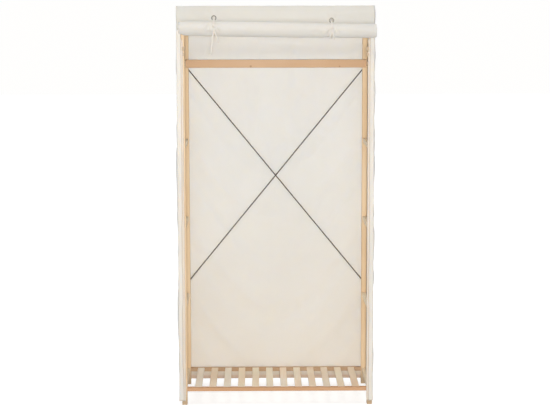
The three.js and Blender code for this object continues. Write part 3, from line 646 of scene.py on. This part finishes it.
class Panel:
    """A hanging rectangle of the cover with a doubled hem, laid in a plane with an outward direction."""

    def __init__(self, name, corner, across, outward, width, depth_limit, seed, material):
        height = FRAME_TOP - HEM_Z
        fall = draped(width, height, seed)
        fall[..., 1] = depth_limit * np.tanh(np.maximum(fall[..., 1] - 0.0002, 0) / depth_limit)
        fall[..., [0, 2]] = np.clip(fall[..., [0, 2]], -0.004, 0.004)
        edge = np.array([0, 0.003, 0.0065, 0.0085]) / width
        inner = np.linspace(0.018, width - 0.018, round(width / 0.011)) / width
        u = np.concatenate([edge, inner, 1 - edge[::-1]])
        low = np.array([0, 0.003, 0.017, 0.0192, 0.0208, 0.023])
        above = np.linspace(0.034, height - 0.012, round(height / 0.012))
        v = np.concatenate([low, above, [height - 0.004, height]]) / height
        up, over = cubic_weights(fall.shape[0], v), cubic_weights(fall.shape[1], u).T
        grid = [up @ fall[..., k] @ over for k in range(3)]
        a, b = np.meshgrid(u * width, v * height)
        inside = smooth(a, 0.0, 0.03) * smooth(width - a, 0.0, 0.03) * smooth(height - b, 0.0, 0.02)
        folds_a, folds_b = np.linspace(0, width, 5)[1:-1], np.linspace(0, height, 7)[1:-1]
        creases = wrinkles(a, b, seed + 1, 70, 0.0012, 0.05)
        creases += packing_creases(a, b, folds_a, folds_b, 0.0007)
        pucker = np.abs(np.sin(b * 520 + seed)) * (np.exp(-a / 0.006) + np.exp(-(width - a) / 0.006))
        hem = 1 - smooth(b, *HEM_STEP)
        groove = np.exp(-(((b - HEM_TURN) / 0.0012) ** 2))
        out = np.maximum(grid[1] + creases * inside, -0.0003)
        out = out + 0.00035 * pucker + 0.0003 * hem - 0.0003 * groove
        corner, across, outward = (np.array(k, dtype=float) for k in (corner, across, outward))
        self.points = corner + (a + grid[0])[..., None] * across + out[..., None] * outward
        self.points[..., 2] += b + grid[2] * smooth(b, 0.0, 0.05)
        self.thickness = CLOTH + 0.0007 * hem - 0.0003 * groove
        self.obj = thick_sheet(name, self.points, self.thickness, material)
        self.a, self.b, self.outward = a[0], b[:, 0], outward

    def surface(self, place, level):
        """The outer face at a distance along the panel and above its hem."""
        i = int(np.clip(np.searchsorted(self.a, place) - 1, 0, len(self.a) - 2))
        j = int(np.clip(np.searchsorted(self.b, level) - 1, 0, len(self.b) - 2))
        s = (place - self.a[i]) / (self.a[i + 1] - self.a[i])
        t = (level - self.b[j]) / (self.b[j + 1] - self.b[j])
        grid = self.points[j : j + 2, i : i + 2]
        low = grid[0, 0] * (1 - s) + grid[0, 1] * s
        high = grid[1, 0] * (1 - s) + grid[1, 1] * s
        return low * (1 - t) + high * t + self.outward * (self.thickness[j, i] / 2 - 0.0001)


def stitch_mesh(name, runs):
    """Sewing thread: each run is a function of a share from 0 to 1, its length and its outward direction."""
    pitch, seen, thick = 0.0045, 0.0031, 0.0005
    vertices, faces = [], []
    # Faces of one stitch: four corners and a ridge above them
    sides = ((0, 3, 2, 1), (0, 4, 5, 3), (1, 2, 5, 4), (0, 1, 4), (2, 3, 5))
    for place, length, outward in runs:
        count = int(length / pitch)
        for k in range(count):
            start = np.array(place((k + 0.15) / count))
            end = np.array(place((k + 0.15 + seen / pitch) / count))
            along = end - start
            side = np.cross(along / np.linalg.norm(along), outward) * thick / 2
            lift = np.array(outward) * thick / 2
            base = len(vertices)
            vertices += [start - side, start + side, end + side, end - side]
            vertices += [start + along * 0.15 + lift, end - along * 0.15 + lift]
            faces += [tuple(base + k for k in corners) for corners in sides]
    obj = new_object(name, vertices, faces, thread_cloth)
    face_outwards(obj)
    return keep(obj, ())


def panel_stitches(name, panel, width):
    """The hem's stitch line and a line beside each corner seam."""
    height = FRAME_TOP - HEM_Z
    end, seam, foot = 0.004, 0.0066, 0.024
    long, tall = width - 2 * end, height - 0.03
    runs = [(lambda t: panel.surface(end + t * long, HEM_TURN), long, panel.outward)]
    for place in (seam, width - seam):
        runs.append((lambda t, place=place: panel.surface(place, foot + t * tall), tall, panel.outward))
    return stitch_mesh(name, runs)


# Back and sides
back_width = COVER_WIDTH - 2 * INSET
back_corner = (COVER_LEFT + INSET, REAR_PLANE - CLOTH, HEM_Z)
back = Panel("cover_back_cloth", back_corner, (1, 0, 0), (0, 1, 0), back_width, 0.011, 11, back_cloth)
keep(back.obj, ["cover_back"])
back_thread = panel_stitches("cover_back_stitches", back, back_width)

for side, sign in SIDES:
    depth = REAR_FACE - FRONT_FACE
    corner = (cover_edge(sign) - sign * CLOTH / 2, FRONT_FACE, HEM_Z)
    name, outward = f"cover_side_cloth_{side}", (sign, 0, 0)
    panel = Panel(name, corner, (0, 1, 0), outward, depth, 0.009, 22 + sign, side_cloth)
    keep(panel.obj, [f"cover_side_{side}"])
    side_thread = panel_stitches(f"cover_side_stitches_{side}", panel, depth)

# Roof: sags a little between the rails, sewn flat along its edges
x, y = even_grid(92, 46, COVER_LEFT, COVER_RIGHT, FRONT_FACE, REAR_FACE)
inside_x = smooth(FRAME_WIDTH / 2 - abs(x - MID_X), 0.0235, FRAME_WIDTH / 2)
inside_y = smooth(FRAME_DEPTH / 2 - abs(y - MID_Y), 0.0295, FRAME_DEPTH / 2)
sag = ROOF_SAG * inside_x * inside_y
free = smooth(inside_x * inside_y, 0, 0.08)
ripple = wrinkles(x, y, 5, 34, 0.0012, 0.06)
creases = packing_creases(x, y, np.linspace(COVER_LEFT, COVER_RIGHT, 5)[1:-1], [MID_Y], 0.0006)
z = ROOF_Z - sag + np.minimum((ripple + creases) * free, sag * 0.6)
cover_roof = thick_sheet("cover_roof_cloth", np.stack([x, y, z], axis=2), CLOTH, roof_cloth)
keep(cover_roof, ["cover_roof"])
edge = 0.005
level = ROOF_Z + CLOTH / 2 - 0.0001
wide, deep = COVER_WIDTH - 2 * edge, REAR_FACE - FRONT_FACE - 2 * edge
roof_runs = []
for place_y in (FRONT_FACE + edge, REAR_FACE - edge):
    roof_runs.append((lambda t, y=place_y: (COVER_LEFT + edge + t * wide, y, level), wide, (0, 0, 1)))
for place_x in (COVER_LEFT + edge, COVER_RIGHT - edge):
    roof_runs.append((lambda t, x=place_x: (x, FRONT_FACE + edge + t * deep, level), deep, (0, 0, 1)))
roof_thread = stitch_mesh("cover_roof_stitches", roof_runs)

# Header, with holes for the eyelets
x, share = even_grid(160, 20, COVER_LEFT + INSET, COVER_RIGHT - INSET)
low = roll_level(x) - ROLL_OVERLAP
z = low + (FRAME_TOP - low) * share
free = smooth(share, 0, 0.3) * smooth(1 - share, 0, 0.25)
y = FRONT_PLANE + wrinkles(x, z, 8, 34, 0.0011, 0.05) * free
for _, place, height, _ in EYELETS:
    near = np.hypot(x - place, z - height)
    star = np.sin(6 * np.arctan2(z - height, x - place))
    pull = 0.0009 * star * smooth(near, 0.011, 0.018) * (1 - smooth(near, 0.02, 0.05))
    flat = 1 - smooth(near, 0.012, 0.030)
    y = (y + pull * free) * (1 - flat) + FRONT_PLANE * flat
header = thick_sheet("cover_header_cloth", np.stack([x, y, z], axis=2), CLOTH, front_cloth)
cutters = []
for _, place, height, _ in EYELETS:
    bpy.ops.mesh.primitive_cylinder_add(
        vertices=40, radius=EYELET_BARREL + GAP, depth=0.02, location=(place, FRONT_PLANE, height),
        rotation=(math.pi / 2, 0, 0),
    )
    cutters.append(bpy.context.object)
    cut = header.modifiers.new("hole", "BOOLEAN")
    cut.operation = "DIFFERENCE"
    cut.solver = "EXACT"
    cut.object = bpy.context.object
shape = header.evaluated_get(bpy.context.evaluated_depsgraph_get())
holed = bpy.data.meshes.new_from_object(shape)
header.modifiers.clear()
header.data = holed
for cutter in cutters:
    bpy.data.objects.remove(cutter)
keep(header, ["cover_header"])
edge = 0.006
wide = COVER_WIDTH - 2 * edge


def header_line(t):
    return COVER_LEFT + edge + t * wide, FRONT_FACE + 0.0001, FRAME_TOP - edge


header_thread = stitch_mesh("cover_header_stitches", [(header_line, wide, (0, -1, 0))])

# Front strips beside the door: their free edges lift off the zip tape here and there
rows = 260
stations = np.array([0, 0.25, 0.5, 0.62, 0.68, 0.72, 0.84, 0.94, 1])
STITCH_COLUMN = 5
for side, sign in SIDES:
    u, v = np.meshgrid(stations, np.linspace(0, 1, rows + 1))
    outer = cover_edge(sign) - sign * INSET
    top = roll_level(outer) - ROLL_OVERLAP - GAP
    z = HEM_Z + (top - HEM_Z) * v
    retreat = smooth(z, 0.56, 0.62) * (1 - smooth(z, 0.76, 0.83))
    retreat += smooth(z, 0.12, 0.19) * (1 - smooth(z, 0.40, 0.47))
    retreat = retreat * (0.003 if sign < 0 else 0.001) + 0.0006 * np.sin(z * 17 + sign)
    x = outer - sign * (STRIP - INSET - np.maximum(retreat, 0)) * u
    lift = 0.0011 * (1 + np.sin(z * 11 + 2 * sign)) * smooth(u, 0.5, 1)
    wave = np.sin(math.pi * 5 * v) ** 2 * (1 - u) * smooth(1 - v, 0, 0.2) * smooth(u, 0, 0.2)
    hem = 1 - smooth(z, HEM_Z + HEM_STEP[0], HEM_Z + HEM_STEP[1])
    thickness = CLOTH + 0.0004 * np.maximum(hem, smooth(u, 0.5, 0.68))
    y = FRONT_PLANE - (0.0016 * wave + lift) * smooth(1 - v, 0, 0.03) - (thickness - CLOTH) / 2
    strip = thick_sheet(f"cover_strip_cloth_{side}", np.stack([x, y, z], axis=2), thickness, strip_cloth)
    keep(strip, [f"cover_front_strip_{side}"])
    line = np.stack([x, y - thickness / 2 + 0.0001, z], axis=2)[:, STITCH_COLUMN]

    def edge_place(t, line=line):
        k = min(max(t, 0), 1) * (len(line) - 1)
        j = min(int(k), len(line) - 2)
        return line[j] * (1 - k + j) + line[j + 1] * (k - j)

    strip_run = (edge_place, top - HEM_Z, (0, -1, 0))
    strip_thread = stitch_mesh(f"cover_strip_stitches_{side}", [strip_run])
    # Painted shadow: a brown bead along the strip's free edge stands in for the thin shadow line between the
    # edge and the zip tape
    bead = [Vector((x[k, -1] - sign * 0.0002, y[k, -1], z[k, -1])) for k in range(rows + 1)]
    section, facing = ellipse(0.0016, 0.0022, 8), [(0, 1, 0)] * len(bead)
    edge_shadow_bead = sweep(f"cover_strip_shadow_bead_{side}", bead, section, edge_shadow_cloth, up=facing)
    keep(edge_shadow_bead, ())

# Rolled door: one long sheet wound into a spiral, its outer turn fine and its inner turns plainer
TURNS = 13.6
CORE = 0.0045
FINE_TURNS = 2.35
ROLL_SEED = 31
# How far the ties press the outer turns in, and the gap left for that above the turns inside
DEEPEST = 0.0064
SLACK = 0.0042
# Folds pinched by the ties, from the knot: place along the roll, place round it, half width, half length,
# lean and depth
FOLDS = {
    "left": (
        (-0.022, 0.002, 0.0038, 0.012, 0.15, 0.0060), (-0.011, 0.013, 0.0028, 0.008, 0.3, 0.0035),
        (-0.019, -0.026, 0.0060, 0.009, 0.5, 0.0045), (0.004, -0.002, 0.0042, 0.006, 0.0, 0.0060),
        (0.017, -0.012, 0.0036, 0.013, -0.5, 0.0036), (-0.034, 0.002, 0.0060, 0.016, 0.1, -0.0022),
        (-0.014, -0.004, 0.0030, 0.014, 0.1, -0.0018),
    ),
    "right": (
        (0.001, -0.004, 0.0050, 0.006, 0.0, 0.0060), (0.017, -0.014, 0.0036, 0.016, -0.2, 0.0056),
        (0.028, -0.020, 0.0050, 0.012, -0.4, 0.0030), (-0.014, -0.016, 0.0052, 0.015, 0.5, 0.0050),
        (-0.068, -0.017, 0.0100, 0.007, 0.0, 0.0048), (-0.030, -0.018, 0.0060, 0.012, 0.4, -0.0022),
        (-0.044, -0.024, 0.0050, 0.010, 0.9, 0.0026),
    ),
}


def roll_points(shares, turns):
    """Points of the wound sheet for shares along the roll and turns wound inwards from the header."""
    x0, turn = np.meshgrid(ROLL_LEFT + ROLL_LENGTH * shares, turns)
    angle = -2 * math.pi * turn
    surface = np.exp(-turn / 1.1)
    outer = roll_radius(x0) - CLOTH / 2
    radius = outer + (CORE - outer) * turn / TURNS
    crumple = wrinkles(x0, angle * 0.020, ROLL_SEED, 90, 0.0012, 0.035)
    crumple += wrinkles(x0, angle * 0.028, ROLL_SEED + 1, 40, 0.0012, 0.09)
    free = np.ones_like(x0)
    dent = np.zeros_like(x0)
    for side, place, _, _ in EYELETS:
        knot_rise = math.asin(KNOT_RISE / (roll_radius(place) + KNOT_HEIGHT / 2))
        knot_turn = 0.5 + knot_rise / (2 * math.pi)
        climb = ((turn - knot_turn + 0.5) % 1.0 - 0.5) * 2 * math.pi * ROLL_RADIUS
        free = free * smooth(abs(x0 - place), 0.004, 0.014)
        for over, up, half_width, half_length, lean, deep in FOLDS[side]:
            along = (x0 - place - over) * math.sin(lean) + (climb - up) * math.cos(lean)
            off = (x0 - place - over) * math.cos(lean) - (climb - up) * math.sin(lean)
            dent += deep * np.exp(-((off / half_width) ** 2) - (along / half_length) ** 2)
    left_end = x0 - ROLL_LEFT
    near_end = np.minimum(left_end, ROLL_RIGHT - x0)
    taper = 0.0045 * (1 - smooth(left_end, 0.0, 0.030)) ** 1.5
    rounding = 0.0030 * (1 - smooth(near_end, 0.0, 0.007)) ** 2
    inside = smooth(turn, 1.9, FINE_TURNS)
    dent = np.maximum(DEEPEST * np.tanh(dent / DEEPEST), -0.0022 * free)
    dent = dent * np.exp(-turn / 3.5) * (1 - inside)
    crumple = np.minimum(crumple, 0.0005 + 0.0012 * free)
    narrow = (taper + rounding) * (0.5 + 0.5 * np.exp(-turn / 3))
    radius = radius + crumple * surface - dent - SLACK * inside - narrow
    stagger = 0.0035 * np.sin(turn * 5.1) * smooth(turn, 0.8, 2.0) + 0.0015 * np.sin(turn * 17.0)
    stagger = np.abs(stagger)
    x = x0 - np.sign(shares[None, :] - 0.5) * smooth(0.04 - near_end, 0, 0.04) * stagger
    rise = 0.0022 * (1 - smooth(left_end, 0.0, 0.030))
    y = roll_axis_y(x0) + radius * np.cos(angle)
    z = roll_level(x0) + rise + radius * np.sin(angle)
    return np.stack([x, y, z], axis=2)


tips = np.array([0, 0.0015, 0.0035, 0.0065, 0.011])
shares = [tips, np.linspace(0.018, 0.982, 116), 1 - tips]
for _, place, _, _ in EYELETS:
    shares.append((place - ROLL_LEFT + np.linspace(-0.04, 0.04, 33)) / ROLL_LENGTH)
shares = np.sort(np.concatenate(shares))
shares = shares[np.concatenate([[True], np.diff(shares) > 0.0012])]
fine = roll_points(shares, np.linspace(0, FINE_TURNS, 140))
plain = np.array([0, 0.008, 0.03, 0.2, 0.4, 0.6, 0.8, 0.97, 0.992, 1])
coarse = roll_points(plain, np.linspace(FINE_TURNS, TURNS, 300))
outer_turn = thick_sheet("door_roll_outer", fine, CLOTH, roll_cloth)
inner_turns = thick_sheet("door_roll_inner", coarse, CLOTH, roll_cloth)
door = join([outer_turn, inner_turns], "door_roll_cloth")
keep(door, ["door_roll"])

# Eyelets: rolled rims before and behind the header
for side, place, height, _ in EYELETS:
    half = CLOTH / 2 + GAP
    crown = (EYELET_RADIUS - EYELET_BORE) / 2
    middle = (EYELET_RADIUS + EYELET_BORE) / 2
    profile = []
    for k in range(11):
        t = math.pi * k / 10
        profile.append((middle - crown * math.cos(t), -half - EYELET_FLANGE * math.sin(t)))
    profile += [(EYELET_RADIUS, -half), (EYELET_BARREL, -half), (EYELET_BARREL, half), (EYELET_RADIUS, half)]
    back_face, soft = half + EYELET_FLANGE, 0.0006
    profile += [(EYELET_RADIUS - soft, back_face), (EYELET_BORE + soft, back_face), (EYELET_BORE, half)]
    segments = 48
    ring = len(profile)
    vertices, faces = [], []
    for k in range(segments):
        t = 2 * math.pi * k / segments
        across, up = math.cos(t), math.sin(t)
        vertices += [(place + r * across, FRONT_PLANE + d, height + r * up) for r, d in profile]
        n = (k + 1) % segments
        for i in range(ring):
            j = (i + 1) % ring
            faces.append((k * ring + i, n * ring + i, n * ring + j, k * ring + j))
    eyelet = new_object(f"eyelet_ring_{side}", vertices, faces, eyelet_metal)
    face_outwards(eyelet)
    keep(eyelet, [f"header_eyelet_{side}"])


def tie_path(place, height):
    """The loop's middle line: through the eyelet, over and under the roll, up behind the header."""
    radius = roll_radius(place) + GAP + TAPE_THICK / 2
    axis_y, axis_z = roll_axis_y(place), roll_level(place)
    reach = CLOTH / 2 + GAP + EYELET_FLANGE + GAP + TAPE_THICK / 2
    rear = FRONT_PLANE + reach
    corner = 0.003
    leave = (FRONT_PLANE - reach, height)
    away = (leave[0] - axis_y, leave[1] - axis_z)
    tangent = math.atan2(away[1], away[0]) + math.acos(radius / math.hypot(*away))
    points = [leave]
    for k in range(41):
        t = tangent + (1.5 * math.pi - tangent) * k / 40
        points.append((axis_y + radius * math.cos(t), axis_z + radius * math.sin(t)))
    bends = ((-math.pi / 2, axis_z - radius + corner), (0, height - corner))
    for start, level in bends:
        for k in range(7):
            t = start + math.pi / 2 * k / 6
            points.append((rear - corner + corner * math.cos(t), level + corner * math.sin(t)))
    return [Vector((place, p[0], p[1])) for p in points]


def knot_path(middle, tilt, count):
    """A trefoil, which is an overhand knot with its ends joined."""
    out = []
    wide, deep, high = 0.0019, 0.0026, 0.00145
    for k in range(count):
        t = 2 * math.pi * k / count
        x, z = math.sin(t) + 2 * math.sin(2 * t), math.cos(t) - 2 * math.cos(2 * t)
        out.append(middle + tilt @ Vector((x * wide, -math.sin(3 * t) * deep, z * high)))
    return out


def strand_path(loop, place, height, sign):
    """One of the two strands that fill the eyelet and run down to the knot, over the loop."""
    knot = knot_middle(place)
    rise = TAPE_THICK + GAP
    out = [
        Vector((place + sign * 0.0010, FRONT_PLANE + 0.0012, height + 0.0048)),
        Vector((place + sign * 0.0022, FRONT_PLANE - 0.0006, height + 0.0012)),
        Vector((place + sign * 0.0024, loop[0].y - rise, height - 0.0040)),
    ]
    axis = Vector((place, roll_axis_y(place), roll_level(place)))
    for point in loop[1:]:
        if point.y > knot.y + 0.004 and point.z > knot.z:
            share = (height - point.z) / (height - knot.z)
            away = (point - axis).normalized() * rise
            out.append(point + away + Vector((sign * (0.0026 - 0.0016 * share), 0, 0)))
    return out


# Ties: loop, two strands and knot in one piece
for side, place, height, _ in EYELETS:
    path = tie_path(place, height)
    flat = [(h, s) for s, h in flat_section(TAPE_WIDTH, TAPE_THICK)]
    loop = sweep(f"tie_loop_{side}", path, flat, tie_cloth, up=[(1, 0, 0)] * len(path), closed=True)
    strands = []
    for sign in (-1, 1):
        route = strand_path(path, place, height, sign)
        turned = [(h, s) for s, h in flat_section(0.0044, 0.0010)]
        lean = [(1, 0, sign * 0.25)] * len(route)
        strands.append(sweep(f"tie_strand_{side}_{sign + 2}", route, turned, tie_cloth, up=lean))
    tilt = Matrix.Rotation(0.5 if side == "left" else -0.3, 3, "Y")
    turns = knot_path(knot_middle(place), tilt, 72)
    knot = sweep(f"tie_knot_{side}", turns, ellipse(0.0038, 0.0024, 10), tie_cloth, closed=True)
    keep(join([loop, knot, *strands], f"door_tie_tape_{side}"), [f"door_tie_{side}"])

# Zips: woven tape behind the strip's edge, with a nylon coil
for side, sign in SIDES:
    tape_y = FRONT_FACE + CLOTH + GAP + ZIP_TAPE / 2
    coil_x = cover_edge(sign) - sign * ZIP_INSET
    low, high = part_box(f"door_zip_{side}")
    slider_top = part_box(f"zip_slider_{side}")[1].z
    u, v = even_grid(6, 200)
    x = coil_x + sign * ZIP_TAPE_WIDTH * u
    z = low.z + (high.z - low.z) * v
    points = np.stack([x, tape_y + 0 * x, z], axis=2)
    tape = thick_sheet(f"zip_tape_{side}", points, ZIP_TAPE, zip_cloth)
    vertices, faces = [], []
    for k in range(int((slider_top + 0.0033 - ZIP_BOTTOM) / COIL_PITCH)):
        level_z = ZIP_BOTTOM + (k + 0.5) * COIL_PITCH
        base = len(vertices)
        for reach, size in ((0.0015, 1.0), (0.0003, 1.0), (-0.0014, 0.72)):
            for s, h in ellipse(*COIL_TOOTH, 6):
                vertices.append((coil_x + sign * reach, tape_y + h * size, level_z + s * size))
        faces += band(base, base + 6, 6) + band(base + 6, base + 12, 6)
        faces.append(tuple(base + i for i in reversed(range(6))))
        faces.append(tuple(base + 12 + i for i in range(6)))
    coil = new_object(f"zip_coil_{side}", vertices, faces, coil_nylon)
    face_outwards(coil)
    keep(join([tape, coil], f"door_zip_half_{side}"), [f"door_zip_{side}"])


# Finishes of the carried-over solids
def give_material(node, material):
    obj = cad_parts[node]
    obj.data.materials.clear()
    obj.data.materials.append(material)


rail_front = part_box("hanging_rail")[0].y
rail_knots = [((-0.1046, rail_front, 1.4405), 0.011), ((0.2779, rail_front, 1.4395), 0.008)]
# First part of the name, direction of the grain, colour, and what else is special
WOODS = (
    ("post", "Z", PINE, {"foot": 0.6}),
    ("ladder_rung", "Y", BIRCH, {"contrast": 0.6}),
    ("hanging_rail", "X", RAIL, {"knots": rail_knots}),
    ("shelf_rail_front", "X", FRONT_RAIL, {}),
    # Painted shade: the rear shelf rail in a darker copy of RAIL, for the shade of the slats over it
    ("shelf_rail_rear", "X", scaled(RAIL, 0.87), {}),
    ("top_rail", "X", RAIL, {}),
)
for number, node in enumerate(sorted(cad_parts)):
    seed = 100 + number
    for kind, axis, colour, special in WOODS:
        if node.startswith(kind):
            give_material(node, wood_material(f"pine_{node}", axis, colour, seed, **special))
    if node.startswith("shelf_slat"):
        tone, pink = np.random.default_rng(seed).uniform((0.97, 0.91), (1.06, 1.02))
        colour = (SLAT[0] * tone, SLAT[1] * tone * pink, SLAT[2] * tone * pink * pink, 1.0)
        give_material(node, wood_material(f"slat_{node}", "Y", colour, seed, 0.8))
    elif node.startswith(("cross_brace", "brace_screw")):
        give_material(node, dark_steel)
    elif node.startswith(("zip_slider", "zip_pull")):
        give_material(node, slider_metal)
        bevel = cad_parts[node].modifiers.new("softened_edges", "BEVEL")
        bevel.width = 0.0002
        bevel.segments = 2

# Floor that shows white to the camera and keeps a faint shadow near the object
FLOOR_MIDDLE = 6.0
paint = Nodes(bpy.data.materials.new("floor_paint"))
seen = paint.shown()
grain = paint.noise(paint.mapped(), 60.0)
floor_tone = paint.ramp(grain, [(0.2, (0.55, 0.55, 0.545, 1)), (0.8, (0.59, 0.59, 0.585, 1))])
place = paint.mapped(location=(0, FLOOR_MIDDLE, 0))
away = paint.add("ShaderNodeVectorMath", {0: place}, operation="LENGTH").outputs["Value"]
glow = paint.between(away, 0.5, 3.0, 0.70, 0.86)
paint.feed(paint.shader, "Emission Color", (1, 1, 1, 1))
paint.feed(paint.shader, "Emission Strength", paint.times(seen, glow))
paint.finish(floor_tone, 0.9, grain, 0.05, 0.001, Specular_IOR_Level=0.1)
bpy.ops.mesh.primitive_plane_add(size=40, location=(0, FLOOR_MIDDLE, 0))
floor = bpy.context.object
floor.name = "floor"
floor.data.materials.append(paint.owner)

# World: plain soft light at this level, shown as white behind the object
WORLD_LEVEL = 0.34
world = bpy.data.worlds.new("studio")
scene.world = world
studio = Nodes(world)
background = studio.tree.nodes["Background"]
studio.feed(background, "Strength", studio.between(studio.shown(), 0.0, 1.0, WORLD_LEVEL, 1.0))
studio.feed(background, "Color", (1.0, 0.995, 0.985, 1))

# Soft lamps: name, place, target, size, and level at the target, where 1 shows a colour as written
LAMPS = (
    ("front", (-0.06, -6.6, 1.62), (0, 0, 4.6), (0.35, 0.35), 0.465),
    ("low", (0, -4.6, 0.35), (0, 0, 2.4), (2.6, 1.0), 0.15),
    ("key", (-0.4, -1.2, 4.4), (0, 0, 1.5), (2.4, 1.6), 0.36),
    ("back", (0.3, 3.6, 3.6), (0, 0, 1.4), (2.6, 2.0), 0.26),
    ("left", (-5.0, 0.2, 1.6), (0, 0, 0.9), (2.4, 2.4), 0.18),
    ("right", (5.0, 0.2, 1.6), (0, 0, 0.9), (2.4, 2.4), 0.18),
)
for name, location, target, size, level in LAMPS:
    data = bpy.data.lights.new(f"{name}_softbox", "AREA")
    data.shape = "RECTANGLE"
    data.size, data.size_y = size
    way = Vector(target) - Vector(location)
    data.energy = level * math.pi**2 * way.length_squared
    lamp = bpy.data.objects.new(f"{name}_softbox", data)
    lamp.location = location
    lamp.rotation_euler = way.to_track_quat("-Z", "Y").to_euler()
    scene.collection.objects.link(lamp)

scene.view_settings.view_transform = "Standard"
